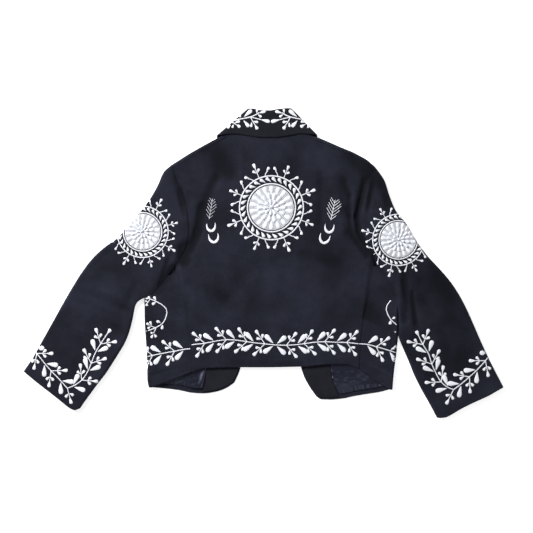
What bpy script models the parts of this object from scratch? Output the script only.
# Child's short charro jacket, laid flat on its front with the back up and the sleeves spread down.
# +X is the right of the laid jacket, +Y points to the collar, +Z up. The lowest cloth rests on z = 0.
# Tables are in millimetres. The cloth is a wall, drawn as its outer face and thickened inwards.

import bpy
import math
import numpy as np

MM = 0.001

# Heights and walls of the laid cloth
BODY_HEIGHT = 7.4       # floor to the outer face of the back
WOOL = 2.2              # wool with its backing, the wall of the back, fronts and sleeves
COLLAR_WALL = 1.8
LINING_WALL = 1.0
SEAM = 0.35             # space between two pieces at a seam
FOLD = BODY_HEIGHT / 2  # radius of a folded side
SHOULDER_WRAP = 5.0     # how far the front comes over the shoulder to meet the back
COLLAR_TOP = BODY_HEIGHT + SEAM + COLLAR_WALL

# A fold's turn in steps: how far in from the folded edge, and how high, as shares of its radius and height
TURN_IN = (1.0, 0.293, 0.0, 0.293, 1.0)
TURN_UP = (1.0, 0.854, 0.5, 0.146, 0.0)

# Columns of each panel's grid
BACK_COLUMNS = (7, 8, 8)    # left shoulder, neck, right shoulder
STRIP_COLUMNS = 4           # wrapped side of a front, from the side seam to the fold
FRONT_COLUMNS = 9           # front on the floor, from the fold to the front edge
STAND_ROWS = 5              # stand of the collar, from the neck edge to the crease

SHARP_ANGLE = 50.0          # degrees, edges sharper than this keep a hard shade

# Side seam of the back, hem to armhole: left x, left y, right x, right y
SIDE_SEAM = (
    (-98.6, -147.6, 130.6, -143.5),
    (-96.9, -138.0, 130.8, -134.0),
    (-96.8, -124.0, 131.0, -120.0),
    (-97.5, -110.0, 132.0, -104.0),
    (-100.5, -97.0, 133.3, -90.0),
    (-105.0, -82.0, 136.0, -74.0),
    (-108.5, -62.0, 139.6, -57.0),
    (-112.2, -43.0, 143.6, -40.0),
    (-114.6, -33.0, 145.8, -28.0),
    (-116.6, -23.0, 147.6, -16.0),
    (-118.1, -13.0, 149.0, -3.0),
)

# Armhole seam, shoulder to underarm: left x, left y, right x, right y
ARMHOLE = (
    (-124.4, 134.0, 153.0, 129.2),
    (-124.1, 133.0, 152.3, 128.4),
    (-123.2, 130.4, 150.6, 126.4),
    (-117.6, 113.6, 144.4, 118.0),
    (-109.8, 97.2, 136.6, 106.0),
    (-105.4, 82.3, 131.8, 88.0),
    (-102.4, 64.6, 127.8, 68.0),
    (-100.9, 44.0, 127.8, 50.0),
    (-103.6, 25.0, 132.0, 35.0),
    (-111.0, 10.5, 140.4, 23.0),
    (-119.3, -3.1, 149.9, 10.2),
    (-129.0, -15.5, 159.8, -6.1),
    (-140.5, -30.5, 169.4, -23.5),
    (-150.5, -41.5, 176.2, -41.0),
    (-158.0, -46.9, 179.3, -60.0),
)
SEAM_MEETS_ARMHOLE = 10     # row of ARMHOLE where the side seam ends
SHOULDER_TURN_ROWS = 3      # first rows of ARMHOLE, where the cloth turns over the shoulder

# Folded side, hem to underarm: left x, left y, right x, right y
SIDE_FOLD = (
    (-155.9, -168.4, 175.2, -171.2),
    (-157.8, -157.0, 176.3, -157.0),
    (-158.0, -141.0, 177.7, -143.0),
    (-158.4, -125.0, 179.8, -128.0),
    (-159.5, -108.0, 181.6, -111.0),
    (-160.7, -91.0, 182.8, -95.0),
    (-161.7, -69.0, 183.0, -77.0),
    (-161.7, -46.9, 183.0, -60.0),
)

# Front edge from its lower corner to the neck: left x, left y, right x, right y
FRONT_EDGE = (
    (-39.6, -162.0, 71.6, -180.6),
    (-34.4, -151.0, 61.8, -166.5),
    (-30.8, -140.0, 54.6, -152.5),
    (-28.4, -124.0, 50.4, -138.0),
    (-26.0, -108.0, 46.0, -114.0),
    (-22.4, -91.0, 41.5, -94.0),
    (-18.4, -66.0, 38.0, -76.0),
    (-15.6, -46.0, 35.4, -58.0),
    (-14.6, -37.0, 33.8, -40.0),
    (-13.4, -26.0, 32.0, -24.0),
    (-12.2, -13.0, 30.6, -7.0),
    (-10.8, 0.0, 29.4, 9.0),
    (-9.8, 13.0, 28.5, 21.0),
    (-9.0, 27.0, 28.0, 33.0),
    (-8.8, 46.0, 27.8, 48.0),
    (-9.2, 68.0, 28.2, 68.0),
    (-11.4, 92.0, 30.0, 92.0),
    (-16.4, 116.0, 35.0, 116.0),
    (-25.0, 140.0, 44.0, 140.0),
)

NECK_POINT = ((-45.6, 181.0), (53.7, 181.0))
NECK_DIP = 3.0              # how far the back neck sinks at its middle

# Shoulder line's rise above a straight line from armhole to neck: share of the way, left, right
SHOULDER_RISE = (
    (0.0, 0.0, 0.0),
    (0.14, 0.5, 5.2),
    (0.29, 1.0, 5.6),
    (0.47, 0.6, 3.8),
    (0.75, -0.5, 1.2),
    (0.88, -1.0, -0.8),
    (1.0, 0.0, 0.0),
)

# Rise of the back's rows at the neck, for the armhole rows from 7 up to 2
BACK_RISE = (0.0, 0.08, 0.21, 0.39, 0.66, 1.0)

# Lower edge of the fronts on the floor, drop below a straight line: share of the way, left, right
FRONT_HEM_DROP = (
    (0.0, 0.0, 0.0),
    (0.14, 2.2, 2.4),
    (0.33, 6.0, 3.6),
    (0.49, 10.6, 4.8),
    (0.65, 12.4, 6.6),
    (0.77, 11.2, 6.6),
    (0.87, 8.4, 5.6),
    (0.96, 3.2, 4.2),
    (1.0, 0.0, 0.0),
)
# Lower edge of the wrapped sides, drop below a straight line: share of the way, left, right
SIDE_HEM_DROP = (
    (0.0, 0.0, 0.0),
    (0.24, 3.4, 0.2),
    (0.63, 3.2, 1.0),
    (1.0, 0.0, 0.0),
)
# Lower edge of the back, rise above a straight line: share of the way, rise
BACK_HEM_RISE = (
    (0.0, 0.0),
    (0.08, 5.0),
    (0.18, 5.9),
    (0.5, 4.8),
    (0.66, 5.0),
    (0.83, 7.6),
    (0.92, 7.2),
    (0.97, 3.0),
    (1.0, 0.0),
)
HEM_FADE = (1.0, 0.5, 0.18)     # how much of a hem's curve the rows above it keep

# Sleeve, armhole to cuff: outer x, outer y, inner x, inner y
SLEEVE_LEFT = (
    (-124.4, 134.0, -161.7, -46.5),
    (-135.3, 124.4, -168.0, -49.2),
    (-143.5, 106.5, -171.8, -53.2),
    (-151.6, 91.8, -174.0, -57.8),
    (-163.5, 75.0, -175.6, -64.5),
    (-181.0, 56.4, -177.2, -73.5),
    (-197.5, 35.5, -179.6, -84.0),
    (-214.0, 23.5, -183.0, -95.5),
    (-229.2, 10.2, -188.0, -107.5),
    (-245.0, -9.5, -195.6, -120.6),
    (-259.0, -31.5, -204.4, -134.6),
    (-272.7, -55.1, -213.7, -149.0),
    (-286.5, -80.0, -224.6, -163.0),
    (-299.9, -104.0, -234.2, -176.0),
    (-313.0, -127.5, -241.6, -186.0),
    (-325.7, -146.2, -248.8, -196.6),
)
SLEEVE_RIGHT = (
    (153.0, 129.2, 183.9, -61.2),
    (164.6, 112.0, 184.0, -64.5),
    (170.5, 94.0, 183.8, -68.0),
    (179.6, 72.0, 183.7, -71.5),
    (193.0, 55.5, 183.6, -75.2),
    (206.0, 33.3, 183.6, -79.2),
    (221.4, 11.8, 183.6, -83.6),
    (238.0, -6.1, 183.6, -88.8),
    (253.4, -24.0, 183.8, -96.0),
    (265.4, -42.0, 186.5, -107.2),
    (276.0, -62.0, 191.2, -119.4),
    (285.4, -83.0, 197.8, -134.6),
    (294.5, -104.0, 204.2, -150.6),
    (304.3, -125.4, 213.7, -169.8),
    (314.9, -146.6, 225.3, -190.4),
    (325.9, -167.8, 235.4, -209.4),
)
# Where a sleeve's half ring leaves the armhole at the underarm: last seam point x, y
SLEEVE_UNDERARM = ((-158.0, -46.5), (182.0, -56.4))
# How far the rings next to the underarm bow away from the body: left, right
UNDERARM_BOW = (
    (0.0, 0.0),
    (-3.0, 5.0),
    (-6.0, 7.0),
    (-8.0, 8.0),
    (-8.0, 7.0),
    (-6.5, 4.6),
    (-4.5, 3.4),
    (-2.5, 2.2),
    (-1.0, 1.0),
)
BOW_SHAPE = ((0.0, 0.0), (0.5, 0.1), (0.75, 0.6), (0.88, 1.0), (0.96, 0.7), (1.0, 0.0))
WIDEST_TURN = 2.4           # a turn that a ring meets at a slant is at most this much longer along the ring
RING_FULLNESS = (0.0, 0.707, 1.0)   # share of its height at a ring's first three points, from the folded edge
# Cuff edge's drop below a straight line: share of the way, left, right
CUFF_DROP = (
    (0.0, 0.0, 0.0),
    (0.24, 3.2, 2.4),
    (0.45, 5.0, 2.2),
    (0.62, 6.8, 2.7),
    (0.8, 9.2, 4.9),
    (0.9, 8.0, 4.6),
    (1.0, 0.0, 0.0),
)
ARMHOLE_FADE = (1.0, 0.84, 0.67, 0.5, 0.34, 0.2, 0.09)   # how much of the armhole's curve each ring keeps
CUFF_FADE = (0.3, 0.65, 1.0)                              # the same for the cuff's curve, last rings

# Collar: folded edge at the top, left to right: x, y
COLLAR_CREASE = ((-21.5, 210.1), (-10.2, 207.9), (3.4, 207.7), (20.0, 209.4), (38.2, 210.6))
# Collar: outer edge of the fall, left to right: x, y
COLLAR_EDGE = (
    (-63.2, 174.0),
    (-54.4, 175.4),
    (-44.2, 175.4),
    (-25.8, 173.4),
    (-2.4, 170.7),
    (17.0, 170.7),
    (30.2, 172.0),
    (42.8, 173.8),
    (56.2, 175.8),
    (72.8, 174.8),
)
# Collar's front ends on the floor: crease x, crease y, edge x, edge y
COLLAR_ENDS = ((-28.0, 149.0, -67.0, 127.0), (44.0, 149.0, 79.0, 127.0))
COLLAR_TURN = 1.5           # the collar turns over at a slant, so its turn is this much longer
COLLAR_ROWS = (0.0, 0.07, 0.3, 0.55, 0.8, 1.0)
COLLAR_CURL = 1.3           # how far the crease rolls down
COLLAR_COLUMNS = 12
COLLAR_END_COLUMNS = 4

# The fronts lie on the collar's ends: middle line of the raised place, half its width and its slope
REST = (((-47.0, 185.0), (-49.0, 138.0)), ((59.0, 185.0), (61.0, 138.0)))
REST_HALF = 31.0
REST_SLOPE = 20.0
REST_LIFT = COLLAR_WALL + SEAM

# Facing and lining that show under the back: share of the front where they meet (left, right), and inset
FACING_SHARE = (0.62, 0.685)
LINING_START = 0.05
FACING_GAP = 0.003          # space between lining and facing, share of the front
FACING_END = 0.98           # the facing stops short of the front edge
HEM_INSET = {"lining": 7.0, "facing": 3.0}     # how far each stops short of the front's lower edge
LINING_ROWS = 4
LINING_COLUMNS = 8
FACING_COLUMNS = 5

# Main folds of the upper cloth: start x, start y, end x, end y, half width, height
FOLDS = (
    (-86.0, 68.0, -90.0, 38.0, 10.0, -1.1),
    (-90.0, 38.0, -108.0, 12.0, 10.0, -1.1),
    (-138.0, 104.0, -126.0, 44.0, 14.0, 0.45),
    (107.0, 112.0, 112.0, 72.0, 11.0, -1.1),
    (112.0, 72.0, 116.0, 42.0, 11.0, -1.1),
    (116.0, 42.0, 142.0, 14.0, 10.0, -1.1),
    (160.0, 96.0, 150.0, 46.0, 12.0, 0.45),
    (190.0, -26.0, 208.0, -86.0, 9.0, -1.3),
    (-182.0, -62.0, -232.0, -40.0, 10.0, -1.0),
    (-190.0, -92.0, -262.0, -64.0, 12.0, -0.7),
    (196.0, -112.0, 256.0, -76.0, 12.0, -0.7),
    (-206.0, -16.0, -250.0, -92.0, 16.0, 0.4),
    (222.0, -30.0, 262.0, -120.0, 16.0, 0.4),
    (-60.0, 20.0, -30.0, -60.0, 18.0, 0.35),
    (70.0, 70.0, 96.0, -30.0, 18.0, -0.6),
    (-40.0, 120.0, 40.0, 128.0, 22.0, -0.5),
)

# Valley along each armhole seam, shoulder to underarm: share of the way, left height, right height
ARMHOLE_VALLEY = (
    (0.0, 0.0, -0.3),
    (0.15, -0.3, -1.0),
    (0.3, -0.4, -1.4),
    (0.5, -0.7, -1.4),
    (0.65, -1.1, -1.2),
    (0.8, -1.4, -1.2),
    (0.93, -1.1, -1.2),
    (1.0, 0.0, 0.0),
)
VALLEY_HALF = 9.0
RELIEF_RANGE = (-1.5, 0.45)

# Cloth colours and finish: red, green, blue, roughness
CLOTH_COLOURS = {
    "wool": (0.018, 0.020, 0.028, 0.85),
    "facing_wool": (0.015, 0.015, 0.021, 0.9),
    "lining_satin": (0.022, 0.023, 0.034, 0.35),
}


def empty_scene():
    for item in list(bpy.data.objects):
        bpy.data.objects.remove(item, do_unlink=True)


def make_collection(name):
    group = bpy.data.collections.new(name)
    bpy.context.scene.collection.children.link(group)
    return group


def make_material(name, kind):
    red, green, blue, roughness = CLOTH_COLOURS[kind]
    material = bpy.data.materials.new(name + "_cloth")
    material.use_nodes = True
    shader = material.node_tree.nodes["Principled BSDF"]
    shader.inputs["Base Color"].default_value = (red, green, blue, 1.0)
    shader.inputs["Roughness"].default_value = roughness
    shader.inputs["Metallic"].default_value = 0.0
    return material


def side_points(table, side):
    """The x, y columns of one side, 0 left and 1 right."""
    return [np.array(row[2 * side:2 * side + 2]) for row in table]


def profile(table, share, column=1):
    """Height of a curve at a share of its way, from a table whose first column is the share."""
    return float(np.interp(share, [row[0] for row in table], [row[column] for row in table]))


def along(points, distances):
    """Points at given distances along a line of straight pieces."""
    points = np.array(points)
    steps = np.linalg.norm(np.diff(points, axis=0), axis=1)
    reached = np.concatenate(([0.0], np.cumsum(steps)))
    return [np.array([np.interp(d, reached, points[:, axis]) for axis in (0, 1)]) for d in distances]


def line_length(points):
    return float(np.linalg.norm(np.diff(np.array(points), axis=0), axis=1).sum())


def to_segment(point, start, end):
    """Distance from a point to a segment, and the share of the way along it."""
    run = end - start
    share = float(np.clip(np.dot(point - start, run) / np.dot(run, run), 0.0, 1.0))
    return float(np.linalg.norm(point - start - share * run)), share


def to_line(point, points):
    """Distance from a point to a line of straight pieces, and the share of the way along it."""
    best = None
    for number in range(len(points) - 1):
        distance, share = to_segment(point, points[number], points[number + 1])
        if best is None or distance < best[0]:
            best = (distance, (number + share) / (len(points) - 1))
    return best


def swell(share):
    """Height of a soft fold, 1 on its middle line and 0 at its half width."""
    return 0.5 + 0.5 * math.cos(math.pi * share) if share < 1.0 else 0.0


def smooth(share):
    share = min(max(share, 0.0), 1.0)
    return share * share * (3.0 - 2.0 * share)


def relief(point):
    """Height that the main folds add to the upper cloth at a place."""
    height = 0.0
    for x0, y0, x1, y1, half_width, rise in FOLDS:
        distance = to_segment(point, np.array((x0, y0)), np.array((x1, y1)))[0]
        height += rise * swell(distance / half_width)
    side = 0 if point[0] < 0 else 1
    distance, share = to_line(point, side_points(ARMHOLE, side))
    height += profile(ARMHOLE_VALLEY, share, side + 1) * swell(distance / VALLEY_HALF)
    return min(max(height, RELIEF_RANGE[0]), RELIEF_RANGE[1])


def rest_lift(point):
    """Height of the lower cloth where it lies on the collar's ends."""
    nearest = min(to_segment(point, np.array(start), np.array(end))[0] for start, end in REST)
    return REST_LIFT * (1.0 - smooth((nearest - REST_HALF) / REST_SLOPE))


def raised(point):
    """A place on the upper cloth, at its height with the folds."""
    return (point[0], point[1], BODY_HEIGHT + relief(point))


def surface(name, group, kind, points, faces, wall):
    """A sheet of cloth: its outer face, thickened inwards."""
    mesh = bpy.data.meshes.new(name)
    mesh.from_pydata([tuple(c * MM for c in p) for p in points], [], faces)
    mesh.validate()
    mesh.update()
    mesh.shade_smooth()
    mesh.set_sharp_from_angle(angle=math.radians(SHARP_ANGLE))
    piece = bpy.data.objects.new(name, mesh)
    piece.data.materials.append(make_material(name, kind))
    group.objects.link(piece)
    thicken = piece.modifiers.new("wall", "SOLIDIFY")
    thicken.thickness = wall * MM
    thicken.offset = -1.0
    thicken.use_even_offset = False
    thicken.use_quality_normals = True
    return piece


def grid_faces(rows, columns, flip, exists=None):
    """Faces of a grid of points, row by row, where the cell exists."""
    faces = []
    for i in range(rows - 1):
        for j in range(columns - 1):
            if exists and not exists(i, j):
                continue
            a, b = i * columns + j, i * columns + j + 1
            c, d = b + columns, a + columns
            faces.append((a, d, c, b) if flip else (a, b, c, d))
    return faces


def used_only(points, faces):
    """Leaves out the points that no face uses."""
    used = sorted({index for face in faces for index in face})
    place = {old: new for new, old in enumerate(used)}
    return [points[old] for old in used], [tuple(place[index] for index in face) for face in faces]


def shoulder_normal(side):
    """Direction from the shoulder line into the body."""
    run = np.array(NECK_POINT[side]) - side_points(ARMHOLE, side)[0]
    run /= np.linalg.norm(run)
    return np.array((run[1], -run[0])) if side == 0 else np.array((-run[1], run[0]))


def shoulder_row(side, depth, shares):
    """Points on a line set in from the shoulder line by a depth."""
    armhole = side_points(ARMHOLE, side)
    start = along(armhole, [depth])[0]
    end = np.array(NECK_POINT[side]) + shoulder_normal(side) * depth
    row = []
    for share in shares:
        rise = profile(SHOULDER_RISE, share, side + 1)
        row.append(start + (end - start) * share + np.array((0.0, rise)))
    return row


def back_rows():
    """Rows of the back from hem to neck. Each row runs from its left seam to its right seam."""
    left_columns, neck_columns, right_columns = BACK_COLUMNS
    meet = SHOULDER_WRAP + SEAM
    left_top = shoulder_row(0, meet, np.linspace(0.0, 1.0, left_columns + 1))
    right_top = shoulder_row(1, meet, np.linspace(1.0, 0.0, right_columns + 1))
    neck = []
    for share in np.linspace(0.0, 1.0, neck_columns + 1)[1:-1]:
        straight = left_top[-1] + (right_top[0] - left_top[-1]) * share
        neck.append(straight - np.array((0.0, NECK_DIP * math.sin(math.pi * share))))
    top = left_top + neck + right_top
    width = top[-1][0] - top[0][0]
    shares = [(p[0] - top[0][0]) / width for p in top]
    crown = [p[1] - (top[0][1] + (top[-1][1] - top[0][1]) * s) for p, s in zip(top, shares)]

    ends = [(np.array(row[:2]), np.array(row[2:])) for row in SIDE_SEAM]
    below_turn = ARMHOLE[SHOULDER_TURN_ROWS:SEAM_MEETS_ARMHOLE + 1]
    ends += [(np.array(row[:2]), np.array(row[2:])) for row in reversed(below_turn)]
    rises = [0.0] * (len(ends) - len(BACK_RISE) + 1) + list(BACK_RISE[:-1])
    rows = []
    for number, ((left, right), rise) in enumerate(zip(ends, rises)):
        fade = HEM_FADE[number] if number < len(HEM_FADE) else 0.0
        row = []
        for share, height in zip(shares, crown):
            point = left + (right - left) * share
            point[1] += rise * height + fade * profile(BACK_HEM_RISE, share)
            row.append(point)
        rows.append(row)
    rows.append(top)
    return rows


def make_back(group):
    rows = back_rows()
    columns = len(rows[0])
    points = [raised(point) for row in rows for point in row]
    faces = grid_faces(len(rows), columns, flip=False)
    return surface("back", group, "wool", points, faces, WOOL)


def front_floor_row(side, number):
    """Points of a front on the floor, from its outer edge to its front edge, hem row first."""
    folds = side_points(SIDE_FOLD, side)
    armhole = side_points(ARMHOLE, side)
    edges = side_points(FRONT_EDGE, side)
    inward = 1.0 if side == 0 else -1.0
    shares = np.linspace(0.0, 1.0, FRONT_COLUMNS + 1)
    if number < len(folds):
        start = folds[number] + np.array((inward * FOLD, 0.0))
    else:
        start = armhole[len(armhole) - 2 - (number - len(folds))]
    drop = HEM_FADE[number] if number < len(HEM_FADE) else 0.0
    row = []
    for share in shares:
        point = start + (edges[number] - start) * share
        point[1] -= drop * profile(FRONT_HEM_DROP, share, side + 1)
        row.append(point)
    return row


def make_front(group, side):
    """One front: wrapped over the side, round the fold, and along the floor up to the shoulder."""
    seam = side_points(SIDE_SEAM, side)
    folds = side_points(SIDE_FOLD, side)
    armhole = side_points(ARMHOLE, side)
    inward = 1.0 if side == 0 else -1.0
    outward = np.array((-inward * SEAM, 0.0))
    strip_shares = np.linspace(0.0, 1.0, STRIP_COLUMNS + 1)
    turn_columns = len(TURN_IN) - 2
    columns = STRIP_COLUMNS + 1 + turn_columns + FRONT_COLUMNS + 1
    floor_start = STRIP_COLUMNS + 1 + turn_columns

    points = []
    side_rows = len(folds)
    strip_rows = len(armhole) - 1 - SEAM_MEETS_ARMHOLE
    floor_rows = len(FRONT_EDGE)
    for number in range(floor_rows):
        floor = front_floor_row(side, number)
        drop = HEM_FADE[number] if number < len(HEM_FADE) else 0.0
        if number < side_rows:
            near = seam[number] + outward
            far = folds[number] + np.array((inward * FOLD, 0.0))
        elif number < side_rows + strip_rows - 1:
            near = seam[number] + outward
            far = armhole[len(armhole) - 2 - (number - side_rows)]
        else:
            near = far = armhole[SEAM_MEETS_ARMHOLE]
        for share in strip_shares:
            point = near + (far - near) * share
            point[1] -= drop * profile(SIDE_HEM_DROP, share, side + 1)
            points.append(raised(point))
        turn = folds[min(number, side_rows - 1)]
        for step in range(1, turn_columns + 1):
            point = turn + np.array((inward * FOLD * TURN_IN[step], 0.0))
            points.append((point[0], point[1], BODY_HEIGHT * TURN_UP[step]))
        points += [(p[0], p[1], rest_lift(p)) for p in floor]

    shoulder_shares = np.linspace(0.0, 1.0, FRONT_COLUMNS + 1)
    turn_rows = [(FOLD * a, b) for a, b in zip(reversed(TURN_IN), reversed(TURN_UP))]
    for depth, level in turn_rows + [(SHOULDER_WRAP, 1.0)]:
        points += [(0.0, 0.0, 0.0)] * floor_start
        for point in shoulder_row(side, depth, shoulder_shares):
            upper = BODY_HEIGHT + (relief(point) if level == 1.0 else 0.0)
            lower = rest_lift(point)
            points.append((point[0], point[1], lower + (upper - lower) * level))
    rows = floor_rows + len(turn_rows) + 1

    def exists(i, j):
        if j >= floor_start:
            return True
        if i < side_rows - 1:
            return True
        return j < STRIP_COLUMNS and i < side_rows + strip_rows - 2

    faces = grid_faces(rows, columns, flip=side == 0, exists=exists)
    points, faces = used_only(points, faces)
    name = ("front_left", "front_right")[side]
    return surface(name, group, "wool", points, faces, WOOL)


def inner_sheet(group, name, side, kind, first_share, last_share, columns, inset):
    """A thin sheet lying on the inside of a front, made from the front's points moved up."""
    shares = np.linspace(first_share, last_share, columns + 1)
    grid = np.linspace(0.0, 1.0, FRONT_COLUMNS + 1)
    height = WOOL + SEAM + LINING_WALL
    points = []
    for number in range(LINING_ROWS):
        row = np.array(front_floor_row(side, number))
        for share in shares:
            x = float(np.interp(share, grid, row[:, 0]))
            y = float(np.interp(share, grid, row[:, 1]))
            y += inset if number == 0 else 0.0
            points.append((x, y, height))
    faces = grid_faces(LINING_ROWS, columns + 1, flip=side == 1)
    return surface(name, group, kind, points, faces, LINING_WALL)


def make_inside(group, side):
    word = ("left", "right")[side]
    share = FACING_SHARE[side]
    lining_end = share - FACING_GAP
    inner_sheet(
        group, "lining_" + word, side, "lining_satin",
        LINING_START, lining_end, LINING_COLUMNS, HEM_INSET["lining"],
    )
    inner_sheet(
        group, "facing_" + word, side, "facing_wool",
        share, FACING_END, FACING_COLUMNS, HEM_INSET["facing"],
    )


def ring_distances(length, inner_shares, slants):
    """Distances round half a sleeve ring: the turned ends at real size, the rest in proportion."""
    first, last = FOLD * slants[0], FOLD * slants[1]
    middle = [first + (length - first - last) * share for share in inner_shares]
    return [0.0, first * TURN_IN[1], first] + middle + [length - last, length - last * TURN_IN[1], length]


def slant(direction, edge):
    """How much longer a turn is along a ring that meets the sleeve's edge at a slant."""
    sine = abs(direction[0] * edge[1] - direction[1] * edge[0])
    sine /= np.linalg.norm(direction) * np.linalg.norm(edge)
    return 1.0 / max(sine, 1.0 / WIDEST_TURN)


def make_sleeve(group, side):
    """One sleeve: a flat tube through rings from the armhole to the cuff."""
    table = (SLEEVE_LEFT, SLEEVE_RIGHT)[side]
    outer_edge = [np.array(row[:2]) for row in table]
    inner_edge = [np.array(row[2:]) for row in table]
    seam_line = side_points(ARMHOLE, side)[:-1] + [np.array(SLEEVE_UNDERARM[side]), inner_edge[0]]
    total = line_length(seam_line)
    reached = [line_length(seam_line[:n + 1]) for n in range(len(seam_line))]
    inner_shares = [(d - FOLD) / (total - 2.0 * FOLD) for d in reached[SHOULDER_TURN_ROWS:-2]]

    rings = []
    for number, (outer, inner) in enumerate(zip(outer_edge, inner_edge)):
        keep = ARMHOLE_FADE[number] if number < len(ARMHOLE_FADE) else 0.0
        bow = UNDERARM_BOW[number][side] if number < len(UNDERARM_BOW) else 0.0
        last = number - (len(table) - len(CUFF_FADE))
        cuff = CUFF_FADE[last] if last >= 0 else 0.0
        length = float(np.linalg.norm(inner - outer)) * (1 - keep) + total * keep

        def place(share):
            seam_point = along(seam_line, [share * total])[0]
            seam_chord = seam_line[0] + (inner_edge[0] - seam_line[0]) * share
            point = outer + (inner - outer) * share + keep * (seam_point - seam_chord)
            point[0] += bow * profile(BOW_SHAPE, share)
            point[1] -= cuff * profile(CUFF_DROP, share, side + 1)
            return point

        slants = (1.0, 1.0)
        if 0 < number < len(table) - 1:
            outer_run = outer_edge[number + 1] - outer_edge[number - 1]
            inner_run = inner_edge[number + 1] - inner_edge[number - 1]
            step = FOLD / length
            slants = (
                slant(place(step) - place(0.0), outer_run),
                slant(place(1.0) - place(1.0 - step), inner_run),
            )
        distances = ring_distances(length, inner_shares, slants)
        half = []
        for index, distance in enumerate(distances):
            from_edge = min(index, len(distances) - 1 - index, len(RING_FULLNESS) - 1)
            half.append((place(distance / length), RING_FULLNESS[from_edge]))
        rings.append(half)
    # The first ring stands off the armhole by the seam, twice that where it turns over
    for index, (point, fullness) in enumerate(rings[0]):
        away = rings[1][index][0] - point
        gap = SEAM if fullness == 1.0 else 2.0 * SEAM
        rings[0][index] = (point + away / np.linalg.norm(away) * gap, fullness)

    points = []
    for half in rings:
        for point, fullness in half:
            rise = BODY_HEIGHT / 2 + relief(point)
            points.append((point[0], point[1], BODY_HEIGHT / 2 + rise * fullness))
        for point, fullness in reversed(half[1:-1]):
            points.append((point[0], point[1], BODY_HEIGHT / 2 * (1.0 - fullness)))
    around = 2 * len(rings[0]) - 2
    faces = []
    for i in range(len(rings) - 1):
        for j in range(around):
            a, b = i * around + j, i * around + (j + 1) % around
            c, d = b + around, a + around
            faces.append((a, b, c, d) if side == 1 else (a, d, c, b))
    name = ("sleeve_left", "sleeve_right")[side]
    return surface(name, group, "wool", points, faces, WOOL)


def make_collar(group):
    """The fall: over the back, turned over at both slopes, with its front ends on the floor."""
    crease, edge = np.array(COLLAR_CREASE), np.array(COLLAR_EDGE)
    middle = COLLAR_TOP / 2
    steps = len(TURN_IN)
    turn_length = middle * COLLAR_TURN
    top_shares = np.linspace(0.0, 1.0, COLLAR_COLUMNS + 1)
    crease_shares = np.linspace(0.0, 1.0, len(crease))
    edge_shares = (edge[:, 0] - edge[0][0]) / (edge[-1][0] - edge[0][0])
    points = []
    for row in COLLAR_ROWS:
        left = crease[0] + (edge[0] - crease[0]) * row
        right = crease[-1] + (edge[-1] - crease[-1]) * row
        curl = COLLAR_CURL if row == 0.0 else 0.0
        line = []
        for side, slope in ((0, left), (1, right)):
            cx, cy, ex, ey = COLLAR_ENDS[side]
            end = np.array((cx, cy)) + np.array((ex - cx, ey - cy)) * row
            down = (end - slope) / np.linalg.norm(end - slope)
            inward = np.array((1.0, 0.0)) if side == 0 else np.array((-1.0, 0.0))
            half = []
            for share in np.linspace(1.0, 0.0, COLLAR_END_COLUMNS + 1):
                start = slope + down * turn_length
                point = start + (end - start) * share
                half.append((point[0], point[1], 0.0))
            for step in range(steps - 2, 0, -1):
                direction = down if TURN_UP[step] < 0.5 else inward
                point = slope + direction * turn_length * TURN_IN[step]
                height = COLLAR_TOP * TURN_UP[step]
                pull = curl * max(0.0, 2.0 * TURN_UP[step] - 1.0)
                half.append((point[0], point[1], height - pull))
            line.append(half)
        across = []
        start_x, end_x = left[0] + turn_length, right[0] - turn_length
        for share in top_shares:
            crease_y = np.interp(share, crease_shares, crease[:, 1])
            edge_y = np.interp(share, edge_shares, edge[:, 1])
            x = start_x + (end_x - start_x) * share
            y = crease_y + (edge_y - crease_y) * row
            across.append((x, y, COLLAR_TOP - curl))
        points += line[0] + across + list(reversed(line[1]))
    columns = len(points) // len(COLLAR_ROWS)
    faces = grid_faces(len(COLLAR_ROWS), columns, flip=True)
    return surface("collar_fall", group, "wool", points, faces, COLLAR_WALL)


def make_stand(group):
    """The stand: from the back's neck edge up to the crease, under the fall."""
    left_columns, neck_columns, _ = BACK_COLUMNS
    neck = back_rows()[-1][left_columns:left_columns + neck_columns + 1]
    crease_y = min(y for _, y in COLLAR_CREASE) - 2.0 * COLLAR_WALL
    crease_left = COLLAR_CREASE[0][0] + 2.0 * FOLD
    crease_right = COLLAR_CREASE[-1][0] - 2.0 * FOLD
    points = []
    for row in np.linspace(0.0, 1.0, STAND_ROWS):
        for number, point in enumerate(neck):
            share = number / neck_columns
            top = np.array((crease_left + (crease_right - crease_left) * share, crease_y))
            low = point + np.array((0.0, SEAM))
            place = low + (top - low) * row
            points.append((place[0], place[1], BODY_HEIGHT + relief(place) * (1.0 - row)))
    faces = grid_faces(STAND_ROWS, len(neck), flip=False)
    return surface("collar_stand", group, "wool", points, faces, COLLAR_WALL)


def main():
    empty_scene()
    group = make_collection("charro_jacket")
    make_back(group)
    for side in (0, 1):
        make_front(group, side)
        make_inside(group, side)
        make_sleeve(group, side)
    make_collar(group)
    make_stand(group)


main()
